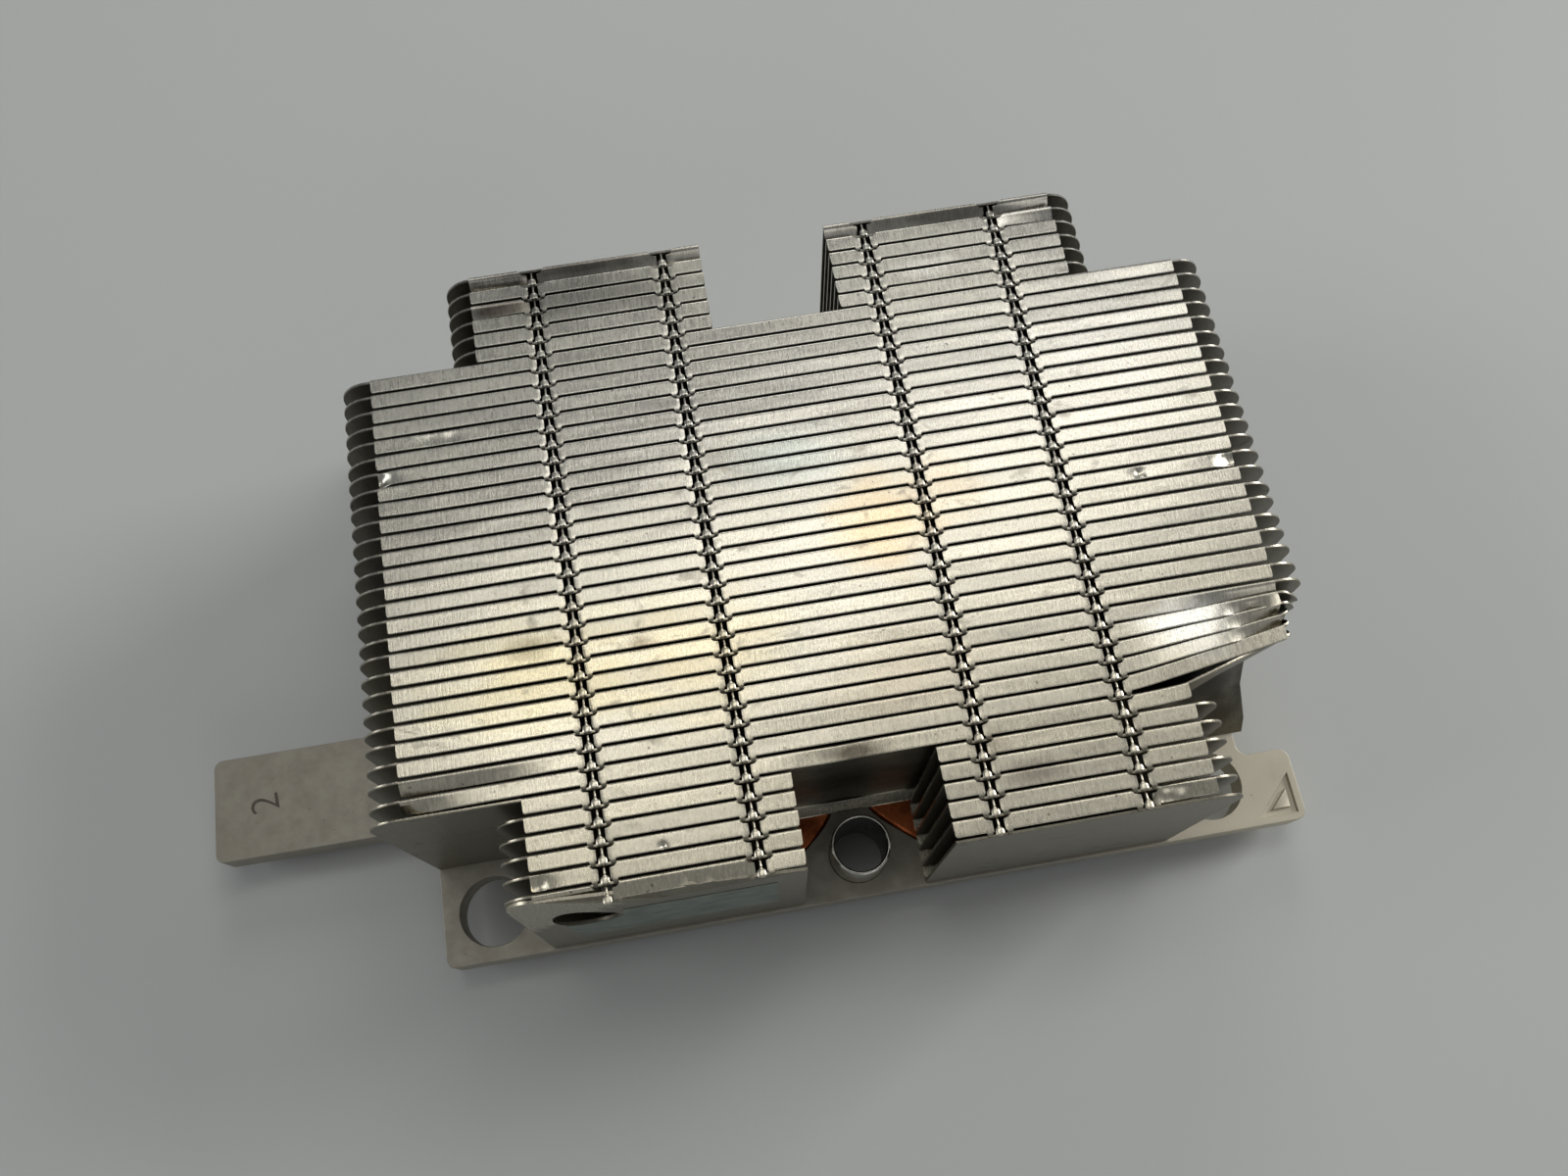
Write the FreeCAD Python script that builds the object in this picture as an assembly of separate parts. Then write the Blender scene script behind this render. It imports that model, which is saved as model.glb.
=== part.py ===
import FreeCAD, Part
import math
import os
from FreeCAD import Vector

# Passive server CPU heatsink, millimetres.
# Frame: origin at the centre of the contact face on the underside, +Z up through the fins,
# +X along the fins, -Y towards the front row.

# ---- base plate ----
pedestal_length = 72.0          # contact block under the plate, along X
pedestal_width = 54.0           # along Y
pedestal_height = 3.0
plate_thickness = 4.0
plate_left = 54.0               # from the centre line to the left edge
plate_right = 52.6              # from the centre line to the right edge
edge_margin = 0.35              # plate beyond the first and last fin sheets
plate_corner = 1.2
arm_reach = 28.7                # numbered arm, beyond the left edge
arm_width = 13.7
arm_offset = 14.3               # arm centre line in front of the plate's centre
ear_reach = 6.6                 # marked ear, beyond the right edge
ear_width = 9.5
ear_fillet = 1.4
mark_side = 5.2                 # debossed triangle on the ear
mark_inset = 1.0
mark_depth = 0.5
mark_line = 0.8
guide_hole_radius = 4.45
guide_hole_x = 47.4
guide_hole_y = 33.2

# ---- screw sleeves ----
sleeve_outer_radius = 3.75
sleeve_wall = 0.45
sleeve_height = 8.0             # above the plate
sleeve_clearance = 0.02         # in its bore through the plate
sleeve_y = 34.0

# ---- heat pipes ----
pipe_width = 6.0
pipe_thickness = 2.4
pipe_clearance = 0.03
pipe_x = 4.0                    # middle run beside the centre line
pipe_straight_length = 46.0     # middle run, between the bends
pipe_splay_angle = 49.5         # away from the Y axis, degrees
pipe_bend_radius = 7.0          # of its centre line
pipe_end_run = 12.0             # each splayed end

# ---- fin stack ----
sheet = 0.35
fin_pitch = 2.05
fin_height = 33.0
flange_gap = 0.2                # between a flange and the next sheet
front_short_rows = 5            # short rows in front of the transition row
back_short_rows = 6
long_rows = 26
long_half_width = 53.9          # sheet of a long fin
long_bare_end = 4.3             # past the flange at each end of a long fin
short_outer = 40.3              # outer end of a short fin's sheet
short_bare_end = 3.55
notch_half_width = 7.95         # middle notch between the short fins
corner_radius = 3.7             # rounded upper corners of the sheets
corner_steps = 2                # flats in each rounded corner

# ---- interlocks along the top ----
lock_columns = (12.75, 29.0)    # distance of each column from the centre line
window_back = 1.28              # half width of the window at the sheet
window_front = 0.8              # half width at the flange's free edge
tongue_neck = 0.2               # half width at the root
tongue_head = 0.4               # half width at the tip
tongue_lap = 0.3                # tip over the next fin's sheet

# ---- right ends knocked back ----
knock_first_row = 29
knock_last_row = 33
knock_start = 31.0              # the bend begins here and grows outward
knock_height = 12.0             # deepest place of the bulge above the plate
top_step = 0.8                  # top edge, more from row to row, at the flange's end
bulge_step = 1.6                # bulge, more from row to row, at the sheet's end
dip_step = 0.3                  # top edge sinks, more from row to row, at the flange's end

# ---- left end sheet ----
end_hole_radius = 3.7
end_hole_inset = 7.7            # from the sheet's outer end
end_hole_height = 24.0          # centre above the plate
end_crease_height = 17.0        # a crease leaves its outer edge this far above the plate
end_crease_length = 15.8        # and reaches its top edge this far from the outer edge
end_lean_angle = 10.0           # the corner past the crease leans back, degrees

# ---- derived ----
rows = back_short_rows + long_rows + 1 + front_short_rows + 1
transition_row = back_short_rows + long_rows + 1
stack_depth = (rows - 1) * fin_pitch + sheet
plate_top = pedestal_height + plate_thickness
fin_top = plate_top + fin_height
plate_half_depth = stack_depth / 2 + edge_margin
flange_depth = fin_pitch - flange_gap
long_flange_half_width = long_half_width - long_bare_end
short_flange_outer = short_outer - short_bare_end
root_top = fin_top - sheet
foot_top = plate_top + sheet
columns = sorted([-c for c in lock_columns] + list(lock_columns))


def row_y(row):
    """Back face of the sheet in a row; row 1 is the rearmost."""
    return stack_depth / 2 - (row - 1) * fin_pitch


def polygon_solid(points, direction):
    face = Part.Face(Part.makePolygon(list(points) + [points[0]]))
    return face.extrude(direction)


def block(x0, x1, y0, y1, z0, z1):
    return Part.makeBox(x1 - x0, y1 - y0, z1 - z0, Vector(x0, y0, z0))


def rounded_upright(solid, radius, corners):
    """Round the upright edges of a solid that stand on the given (x, y) corners."""
    picked = []
    for edge in solid.Edges:
        a = edge.Vertexes[0].Point
        b = edge.Vertexes[-1].Point
        upright = abs(a.x - b.x) < 1e-6 and abs(a.y - b.y) < 1e-6
        if upright and any(math.hypot(a.x - x, a.y - y) < 1e-3 for x, y in corners):
            picked.append(edge)
    return solid.makeFillet(radius, picked)


# ---------------------------------------------------------------- base plate

def pipe_body(side, width, z0, z1):
    """Flattened pipe in plan: a straight middle and, past a bend at each end, a splayed run."""
    angle = math.radians(pipe_splay_angle)
    along = (math.sin(angle), math.cos(angle))
    centre_x = pipe_x + pipe_bend_radius
    bend_y = pipe_straight_length / 2

    def edge(radius):
        half = radius * math.sin(angle / 2)
        mid = (centre_x - radius * math.cos(angle / 2), bend_y + half)
        bend = (centre_x - radius * math.cos(angle), bend_y + radius * math.sin(angle))
        tip = (bend[0] + pipe_end_run * along[0], bend[1] + pipe_end_run * along[1])
        return [(centre_x - radius, bend_y), mid, bend, tip]

    outer = edge(pipe_bend_radius + width / 2)
    inner = edge(pipe_bend_radius - width / 2)

    def at(point, end):
        return Vector(side * point[0], end * point[1], z0)

    edges = []
    for end in (-1, 1):
        for start, mid, bend, tip in (outer, inner):
            edges.append(Part.Arc(at(start, end), at(mid, end), at(bend, end)).toShape())
            edges.append(Part.LineSegment(at(bend, end), at(tip, end)).toShape())
        edges.append(Part.LineSegment(at(outer[3], end), at(inner[3], end)).toShape())
    for line in (outer, inner):
        edges.append(Part.LineSegment(at(line[0], -1), at(line[0], 1)).toShape())
    outline = Part.Wire(Part.sortEdges(edges)[0])
    return Part.Face(outline).extrude(Vector(0, 0, z1 - z0))


def ear_mark():
    """Raised-edge triangle: a right-angled ring pressed into the ear."""
    x1 = plate_right + ear_reach - mark_inset
    y0 = -plate_half_depth + mark_inset
    outer = [(x1, y0), (x1, y0 + mark_side), (x1 - mark_side, y0)]
    cx = sum(p[0] for p in outer) / 3
    cy = sum(p[1] for p in outer) / 3
    inner_scale = 1 - mark_line * (2 + math.sqrt(2)) / mark_side
    inner_in = mark_side * (1 - inner_scale) / (2 + math.sqrt(2))
    xi = x1 - inner_in
    yi = y0 + inner_in
    inner_side = mark_side * inner_scale
    inner = [(xi, yi), (xi, yi + inner_side), (xi - inner_side, yi)]
    z = plate_top - mark_depth
    up = Vector(0, 0, mark_depth)
    ring = polygon_solid([Vector(x, y, z) for x, y in outer], up)
    return ring.cut(polygon_solid([Vector(x, y, z) for x, y in inner], up))


def base_plate():
    z0 = pedestal_height
    plate = block(-plate_left, plate_right, -plate_half_depth, plate_half_depth, z0, plate_top)
    arm_y = -arm_offset
    arm_left = -plate_left - arm_reach
    arm = block(arm_left, -plate_left, arm_y - arm_width / 2, arm_y + arm_width / 2, z0, plate_top)
    ear_right = plate_right + ear_reach
    ear_back = -plate_half_depth + ear_width
    ear = block(plate_right, ear_right, -plate_half_depth, ear_back, z0, plate_top)
    plate = plate.fuse([arm, ear]).removeSplitter()
    plate = rounded_upright(plate, plate_corner, [
        (-plate_left, -plate_half_depth), (-plate_left, plate_half_depth),
        (plate_right, plate_half_depth),
        (arm_left, arm_y - arm_width / 2), (arm_left, arm_y + arm_width / 2)])
    plate = rounded_upright(plate, ear_fillet, [
        (ear_right, -plate_half_depth), (ear_right, ear_back), (plate_right, ear_back)])
    half_l = pedestal_length / 2
    half_w = pedestal_width / 2
    plate = plate.fuse(block(-half_l, half_l, -half_w, half_w, 0, pedestal_height))
    for side in (-1, 1):
        for end in (-1, 1):
            centre = Vector(side * guide_hole_x, end * guide_hole_y, z0)
            plate = plate.cut(Part.makeCylinder(guide_hole_radius, plate_thickness, centre))
    for end in (-1, 1):
        centre = Vector(0, end * sleeve_y, z0)
        bore_radius = sleeve_outer_radius + sleeve_clearance
        plate = plate.cut(Part.makeCylinder(bore_radius, plate_thickness, centre))
    groove_floor = plate_top - pipe_thickness - pipe_clearance
    for side in (-1, 1):
        plate = plate.cut(pipe_body(side, pipe_width + 2 * pipe_clearance, groove_floor, plate_top))
    return plate.cut(ear_mark()).removeSplitter()


def heat_pipe(side):
    return pipe_body(side, pipe_width, plate_top - pipe_thickness, plate_top)


def sleeve(end):
    foot = Vector(0, end * sleeve_y, pedestal_height)
    height = plate_thickness + sleeve_height
    tube = Part.makeCylinder(sleeve_outer_radius, height, foot)
    return tube.cut(Part.makeCylinder(sleeve_outer_radius - sleeve_wall, height, foot))


# ---------------------------------------------------------------- fins

def corner(cx, radius, side):
    """Rounded top corner of a sheet as a few flats, from the upright edge to the top edge."""
    if radius == 0:
        return [(cx, root_top)]
    turns = [math.pi / 2 * k / corner_steps for k in range(corner_steps + 1)]
    return [(cx + side * radius * math.cos(turn), root_top - radius + radius * math.sin(turn))
            for turn in turns]


def sheet_body(x0, x1, left_radius, right_radius):
    """A fin's sheet, up to the underside of its flange, with its back face at y = 0."""
    points = [(x0, plate_top)]
    points += corner(x0 + left_radius, left_radius, -1)
    points += reversed(corner(x1 - right_radius, right_radius, 1))
    points.append((x1, plate_top))
    return polygon_solid([Vector(x, 0, z) for x, z in points], Vector(0, -sheet, 0))


def flange_strips(f0, f1, locks):
    """Top flange with its fold: one strip between each pair of windows, narrower at its free edge."""
    starts = [(f0, f0)] + [(c + window_back, c + window_front) for c in locks]
    ends = [(c - window_back, c - window_front) for c in locks] + [(f1, f1)]
    strips = []
    for (back_l, front_l), (back_r, front_r) in zip(starts, ends):
        corners = [(back_l, 0), (front_l, -flange_depth), (front_r, -flange_depth), (back_r, 0)]
        plan = [Vector(x, y, root_top) for x, y in corners]
        strips.append(polygon_solid(plan, Vector(0, 0, sheet)))
    return strips


def tongue(c):
    """Interlock tongue: it springs from the sheet just below the window, widens and rises,
    and its underside lies on the back edge of the next fin's sheet."""
    rise = sheet / (fin_pitch - sheet)
    tip = -fin_pitch - tongue_lap
    tip_top = root_top + rise * (-tip - sheet)
    side = [(-sheet, root_top - sheet), (-sheet, root_top), (tip, tip_top), (tip, tip_top - sheet)]
    slab = polygon_solid([Vector(c - tongue_head, y, z) for y, z in side], Vector(2 * tongue_head, 0, 0))
    plan = [(c - tongue_neck, -sheet), (c - tongue_head, tip), (c + tongue_head, tip),
            (c + tongue_neck, -sheet)]
    taper = polygon_solid([Vector(x, y, plate_top) for x, y in plan], Vector(0, 0, 2 * fin_height))
    return slab.common(taper)


def fin(x0, x1, f0, f1, radii, locks):
    """A fin in its own frame: the back face of its sheet at y = 0, its flanges to the front."""
    body = sheet_body(x0, x1, radii[0], radii[1])
    pieces = flange_strips(f0, f1, locks)
    pieces.append(block(f0, f1, -flange_depth, -sheet, plate_top, foot_top))
    pieces += [tongue(c) for c in locks]
    return body.fuse(pieces).removeSplitter()


# ---------------------------------------------------------------- knocked-back ends

def skin(sections):
    """Closed solid through cross-sections that have the same number of points."""
    faces = []
    for here, there in zip(sections, sections[1:]):
        count = len(here)
        for i in range(count):
            j = (i + 1) % count
            faces += quad_faces(here[i], here[j], there[j], there[i])
    for end in (sections[0], sections[-1]):
        faces.append(Part.Face(Part.makePolygon(end + [end[0]])))
    solid = Part.makeSolid(Part.makeShell(faces))
    if solid.Volume < 0:
        solid.reverse()
    return solid


def quad_faces(a, b, c, d):
    """One face where four points are in a plane, otherwise two triangles.

    The fold runs from the lower edge here to the upper edge there, so both sides of a sheet fold alike."""
    if abs((b - a).cross(c - a).dot(d - a)) < 1e-7:
        return [Part.Face(Part.makePolygon([a, b, c, d, a]))]
    if a.z + d.z <= b.z + c.z:
        return [Part.Face(Part.makePolygon([a, b, c, a])), Part.Face(Part.makePolygon([a, c, d, a]))]
    return [Part.Face(Part.makePolygon([a, b, d, a])), Part.Face(Part.makePolygon([b, c, d, b]))]


def knocked_back(row, start, flanged):
    """Right end of a fin past the start of the bend: bulged back low down, sunk and pushed at the top."""
    steps = max(row - knock_first_row + 1, 0)
    drooping = row < knock_last_row - 1
    flange_end = long_flange_half_width
    middle = plate_top + knock_height
    reach = 1 - top_step / flange_depth if drooping else 1
    droop = math.acos(reach)

    def grown(x, end):
        return (x - start) / (end - start)

    def shift(x, z):
        bulge = steps * bulge_step * grown(x, long_half_width)
        top = steps * top_step * grown(x, flange_end)
        if z <= middle:
            return bulge * (z - plate_top) / knock_height
        return bulge + (top - bulge) * (z - middle) / (fin_top - middle)

    def edge_height(x):
        into_corner = max(x - (long_half_width - corner_radius), 0)
        rounded = corner_radius - math.sqrt(max(corner_radius ** 2 - into_corner ** 2, 0))
        return root_top - steps * dip_step * grown(x, flange_end) - rounded

    def sheet_section(x):
        levels = [plate_top, middle, edge_height(x)]
        back = [Vector(x, shift(x, z), z) for z in levels]
        front = [Vector(x, shift(x, z) - sheet, z) for z in reversed(levels)]
        return back + front

    def flanged_section(x):
        turn = droop * grown(x, flange_end)
        top = edge_height(x) + sheet
        y = shift(x, top)
        tip = Vector(x, y - flange_depth * math.cos(turn), top - flange_depth * math.sin(turn))
        under = tip + Vector(0, sheet * math.sin(turn), -sheet * math.cos(turn))
        inner = Vector(x, y - sheet, top - sheet * (1 + math.sin(turn)) / math.cos(turn))
        y_mid = shift(x, middle)
        return [Vector(x, 0, plate_top), Vector(x, y_mid, middle), Vector(x, y, top), tip, under,
                inner, Vector(x, y_mid - sheet, middle), Vector(x, shift(x, foot_top) - sheet, foot_top),
                Vector(x, -flange_depth, foot_top), Vector(x, -flange_depth, plate_top)]

    corner_start = long_half_width - corner_radius
    corner_xs = [corner_start + corner_radius * math.sin(math.pi / 2 * k / corner_steps)
                 for k in range(corner_steps + 1)]
    if flanged:
        end_part = skin([sheet_section(x) for x in [flange_end] + corner_xs])
        return skin([flanged_section(start), flanged_section(flange_end)]).fuse(end_part)
    return skin([sheet_section(x) for x in [start] + corner_xs])


def long_fin(row):
    ends = (corner_radius, corner_radius)
    whole = (-long_half_width, long_half_width, -long_flange_half_width, long_flange_half_width)
    if row < knock_first_row - 1:
        return fin(*whole, ends, columns)
    cut = (-long_half_width, knock_start, -long_flange_half_width, knock_start)
    straight = fin(*cut, (corner_radius, 0), columns)
    return straight.fuse(knocked_back(row, knock_start, True)).removeSplitter()


def transition_fin(row):
    """Long sheet whose flange covers only the width of the short fins."""
    start = short_flange_outer
    straight = fin(-long_half_width, start, -start, start, (corner_radius, 0), columns)
    return straight.fuse(knocked_back(row, start, False)).removeSplitter()


# ---------------------------------------------------------------- short fins and end sheets

def short_columns(side):
    return [c for c in columns if c * side > 0]


def short_fin(side):
    if side < 0:
        return fin(-short_outer, -notch_half_width, -short_flange_outer, -notch_half_width,
                   (corner_radius, 0), short_columns(side))
    return fin(notch_half_width, short_outer, notch_half_width, short_flange_outer,
               (0, corner_radius), short_columns(side))


def end_sheet_right():
    return sheet_body(notch_half_width, short_outer, 0, corner_radius)


def end_sheet_left():
    """The left end sheet has a round hole, and its outer top corner leans back from a crease,
    pressed down where the last fin's tongue hooks over it."""
    flat = sheet_body(-short_outer, -notch_half_width, corner_radius, 0)
    hole_x = short_outer - end_hole_inset
    start = Vector(-hole_x, sheet, plate_top + end_hole_height)
    flat = flat.cut(Part.makeCylinder(end_hole_radius, 3 * sheet, start, Vector(0, -1, 0)))
    low = Vector(-short_outer, -sheet, plate_top + end_crease_height)
    high = Vector(-short_outer + end_crease_length, -sheet, root_top)
    crease = high - low
    outside = low - crease + Vector(0, 0, 4 * fin_height)
    past_crease = polygon_solid([low - crease, high + crease, outside], Vector(0, 2 * sheet, 0))
    leaning = flat.common(past_crease)
    leaning.rotate(low, crease, -end_lean_angle)
    hook = tongue(-lock_columns[1])
    hook.translate(Vector(0, fin_pitch, 0))
    return flat.cut(past_crease).fuse(leaning).removeSplitter().cut(hook)


def place(shape, row):
    shape.translate(Vector(0, row_y(row), 0))
    return shape


def save(shape, name):
    shape.exportStep("parts/" + name + ".step")


def main():
    os.makedirs("parts", exist_ok=True)
    save(base_plate(), "base_plate")
    for name, side in (("left", -1), ("right", 1)):
        save(heat_pipe(side), "heat_pipe_" + name)
    for name, end in (("front", -1), ("back", 1)):
        save(sleeve(end), "sleeve_" + name)
    for row in range(1, rows):
        label = "fin_%02d" % row
        if back_short_rows < row < transition_row:
            save(place(long_fin(row), row), label)
        elif row == transition_row:
            save(place(transition_fin(row), row), label)
        else:
            for name, side in (("left", -1), ("right", 1)):
                save(place(short_fin(side), row), label + "_" + name)
    save(place(end_sheet_left(), rows), "end_sheet_left")
    save(place(end_sheet_right(), rows), "end_sheet_right")


main()
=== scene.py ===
import math

import bmesh
import bpy
import numpy as np
from mathutils import Matrix, Quaternion, Vector
from mathutils.geometry import delaunay_2d_cdt


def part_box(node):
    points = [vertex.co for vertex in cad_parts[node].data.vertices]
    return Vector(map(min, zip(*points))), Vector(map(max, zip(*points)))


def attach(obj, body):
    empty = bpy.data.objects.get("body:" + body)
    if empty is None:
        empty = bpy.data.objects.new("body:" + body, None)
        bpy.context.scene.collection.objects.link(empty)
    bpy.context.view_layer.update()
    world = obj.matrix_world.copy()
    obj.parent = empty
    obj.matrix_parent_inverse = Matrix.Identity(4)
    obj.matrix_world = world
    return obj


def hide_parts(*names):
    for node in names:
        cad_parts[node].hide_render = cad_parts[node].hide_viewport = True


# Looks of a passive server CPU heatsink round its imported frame. Lengths are millimetres until a
# mesh is made; lamps, floor and camera are placed in metres. A fin is described by x, by its depth
# in front of the sheet's back face, and by z.

MM = 0.001
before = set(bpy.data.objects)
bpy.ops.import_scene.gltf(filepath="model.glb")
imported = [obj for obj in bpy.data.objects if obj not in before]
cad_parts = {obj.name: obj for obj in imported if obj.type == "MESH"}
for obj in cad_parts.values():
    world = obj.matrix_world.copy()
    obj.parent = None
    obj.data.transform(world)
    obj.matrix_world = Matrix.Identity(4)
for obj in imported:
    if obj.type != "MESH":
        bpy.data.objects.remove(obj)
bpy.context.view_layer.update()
chance = np.random.default_rng(8473)


def span(node):
    """Lowest and highest corner of a CAD node."""
    low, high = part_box(node)
    return low / MM, high / MM


# ---- rows of fins, counted from the back ----
ROWS = 39
BACK_ROWS = 6                   # short rows behind the long ones
TRANSITION = 33                 # long sheet with a short fin's flange

# ---- sizes read from the frame; fin_07 is the first long fin ----
PITCH = span("fin_07")[1].y - span("fin_08")[1].y
FIRST_Y = span("fin_07")[1].y + BACK_ROWS * PITCH
SHEET = span("end_sheet_right")[1].y - span("end_sheet_right")[0].y
PLATE_TOP = span("base_plate")[1].z
ROOT = span("end_sheet_right")[1].z
TOP = ROOT + SHEET
LONG_END = span("fin_07")[1].x
SHORT_END = span("end_sheet_right")[1].x
NOTCH = span("end_sheet_right")[0].x

# ---- flanges ----
LONG_FLANGE = 49.6              # where the flanges end
SHORT_FLANGE = 36.75
FLANGE_DEPTH = 1.85
FLANGE_CORNER = 0.35            # rounded front corners at a flange's free ends
FOLD_RADIUS = 0.28
FOLD_FOOT = 0.6                 # the fold's shell reaches this far under the top
FOLD_PIVOT = 0.3                # a flange turns about a line this far in and down
FOLD_SPAN = (0.05, 0.75)        # depths between which its turn grows
LOCAL_REACH = 1.7               # the ends' shaping fades out over this length
# rings of the mesh, counted from a strip's end, and the step between the others
END_STATIONS = (0, 0.05, 0.13, 0.22, 0.35, 0.5, 0.66, 0.79, 0.92, 1.2, 1.6)
STATION_STEP = 1.7

# ---- windows, their bent ears and the hooks on these ----
COLUMNS = (-29.0, -12.75, 12.75, 29.0)
WINDOW_BACK = 1.75              # half width of a window beside the sheet
WINDOW_WAIST = 1.15             # where its sides step in
WINDOW_FRONT = 0.63             # between the bent ears
WINDOW_SHAPE = ((0.0, WINDOW_BACK), (0.58, WINDOW_WAIST), (0.66, WINDOW_FRONT))   # by depth
EAR_LENGTH = 0.5
EAR_DROP = 0.05
EAR_SPAN = (0.6, 0.9)           # depths between which its drop grows
HOOK = (0.85, 1.32)             # the ears reach over the next fin between these half widths
HOOK_EDGE = 0.12                # a hook's sides rise over this width
HOOK_REACH = 0.45
HOOK_DROP = 0.05
HOOK_SPAN = (1.4, 1.84)         # depths between which a hook stretches forward
HOOK_FALL = (1.6, 1.84)         # and between which it falls

# ---- sheets ----
CORNER = 3.7                    # rounded upper corners
EDGE = 0.05                     # softened edges of the cut sheets
SHEET_LEVELS = (10.0, 14.0, 19.0, 24.0, 29.0, 33.0)     # z of mesh points under the top edge
BOW_START = 44.0                # past this x a sheet's free end bows,
BOW_LENGTH = 10                 # more and more over this length
BOW_SPREAD = 0.12               # usual size of the bow

# ---- tones: 0 to 1 from strip to strip, below 0 darker with painted shade, and duller ----
DULL_AND_SHADED = -1.0                     # painted shade on surfaces turned away or deep in a gap, which are also duller
SHEET_TONE = -0.80              # painted shade on the sheets' front faces
BACK_TONE = -0.30               # and lighter painted shade on their back faces
FLAP_TONE = -0.4                # the left end sheet past its crease, with less painted shade than the rest of the sheet
HOOK_TONE = -0.7                # painted shade on the hooks' front ends
LIP_TONE = 0.25                 # added along a flange's free edge as a painted highlight
TONGUE_TONE = 0.9
FOOT_TONE = 0.4

# ---- right ends knocked back, as in the frame ----
KNOCK_FIRST = 29
KNOCK_LAST = 33
KNOCK_START = 31.0              # the bend begins here and grows outward
KNOCK_HEIGHT = 12.0             # deepest place of the bulge above the plate
TOP_STEP = 0.8                  # from row to row, how much further back the top edge goes,
BULGE_STEP = 1.6                # how much further back the bulge goes,
DIP_STEP = 0.3                  # and how much further down the top edge goes
KNOCK_SOFTNESS = 2.5            # rounding of the bend's start
KNOCK_FADE = (-8, -1)           # places, counted from the start, between which it fades in

# ---- their bare corners, by row: how far the top folds back, how far it is pushed in ----
CRUSHED = {29: (-1.0, 0.8), 30: (-0.55, 1.4), 31: (0.5, 2.2), 32: (0.3, 2.9), 33: (0.0, 3.2)}
CRUSHED_TOP = 7                 # the fold lies this far under the top edge
PUSH_LOW = 0.35                 # share of the push just above the plate
PUSH_HIGH = 0.65                # and near the top

# ---- flanges bent down, or up below 0: first row, last row, from x, to x, degrees there ----
BEND_MARGIN = 0.8               # a bend also holds this far past its ends
BENT_FLANGES = (
    (28, 28, 40.0, 43.0, 0, 24),
    (28, 28, 43.8, 49.6, 26, 34),
    (29, 31, 31.5, 37.0, 0, -6.5),
    (29, 31, 37.8, 43.0, -6.5, -6.5),
    (29, 29, 43.8, 46.5, 4, 44),
    (29, 29, 47.3, 49.6, 20, -6),
    (30, 31, 43.8, 49.6, 4, 58),
    (31, 31, -49.6, -34.0, 34, 0),
    (32, 32, -49.6, -45.5, 60, 4),
    (32, 32, -45.5, -40.0, 4, 0),
    (38, 38, -28.4, -13.4, 15, 11),
    (38, 38, -36.8, -29.6, 76, 70),
    (1, 1, -36.8, -29.6, 52, 46),
    (1, 1, -28.4, -13.4, 34, 30),
    (1, 1, -12.2, -7.9, 38, 40),
    (1, 1, 7.9, 12.2, 40, 38),
    (1, 1, 13.4, 28.4, 26, 30),
    (1, 1, 29.6, 36.8, 34, 48),
    (2, 2, 29.6, 36.8, 6, 22),
    (3, 3, -36.8, -29.6, 26, 12),
    (38, 38, 29.6, 36.8, 14, 6),
)
# ---- dents in the flanges: row, x, depth along the flange, radius, how deep ----
DENTS = (
    (13, -49.4, 1.2, 1.1, 0.9),
    (20, 49.2, 1.3, 1.6, 0.7),
    (20, 38.1, 1.1, 0.6, 0.25),
    (11, -42.9, 0.9, 1.5, 0.14),
    (11, -40.6, 1.2, 1.0, 0.1),
    (5, 19.0, 1.0, 3.2, 0.12),
    (36, -22.5, 1.5, 0.32, 0.3),
    (37, -36.0, 1.4, 1.0, 0.55),
    (38, 31.2, 1.2, 1.3, 0.6),
    (38, 33.0, 1.7, 0.9, 0.4),
    (38, -20.5, 1.8, 0.8, 0.25),
    (38, -18.2, 1.8, 0.6, 0.2),
    (33, -3.0, 1.6, 3.0, 0.3),
)

# ---- left end sheet: a hole, and a corner past a crease that leans back ----
END_HOLE = (-32.6, 31.0)
END_HOLE_RADIUS = 3.7
CREASE_HEIGHT = 17.0            # above the plate, at the outer edge
CREASE_LENGTH = 15.8            # from the outer edge, at the top edge
CREASE_ANGLE = 10.0
CREASE_ROUNDING = 0.8
FLAP_START = 1.2                # the flap's tone begins this far past the crease
FILL_STEP = 1.2                 # spacing of the mesh inside the sheet

# ---- label on the left end sheet ----
LABEL = (-35.3, -11.2, 16.0, 34.2)      # from x, to x, from z, to z
LABEL_CLEARANCE = 0.4           # its upper edge keeps this far from the hole
LABEL_DIP_MARGIN = 0.3          # and dips for it this far past the hole's sides
LABEL_BACK = 0.01               # in front of the sheet
LABEL_FRONT = 0.07

# ---- base, pipes and sleeves ----
SLEEVE_WALL = 0.45
PLATE_ROUNDING = 0.22
PIPE_ROUNDING = 0.5
SHARP_ANGLE = 40                # edges of the CAD nodes steeper than this are rounded

# ---- number on the arm ----
NUMBER = "2"
NUMBER_PLACE = (-75.9, -14.2)
NUMBER_SIZE = 5.4
NUMBER_RISE = 0.02              # above the arm's top face, and as far below it
NUMBER_OFFSET = -0.06           # makes the strokes thinner than the font's
NUMBER_ANGLE = 96

# ---- stage, in metres ----
FLOOR_HALF = 1.2
AMBIENT = 0.12                  # strength of the surroundings as light
BACKDROP = 0.20                 # and as the camera and bright metal see them
SKY = (0.94, 0.97, 1.0, 1)      # their colour
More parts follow.
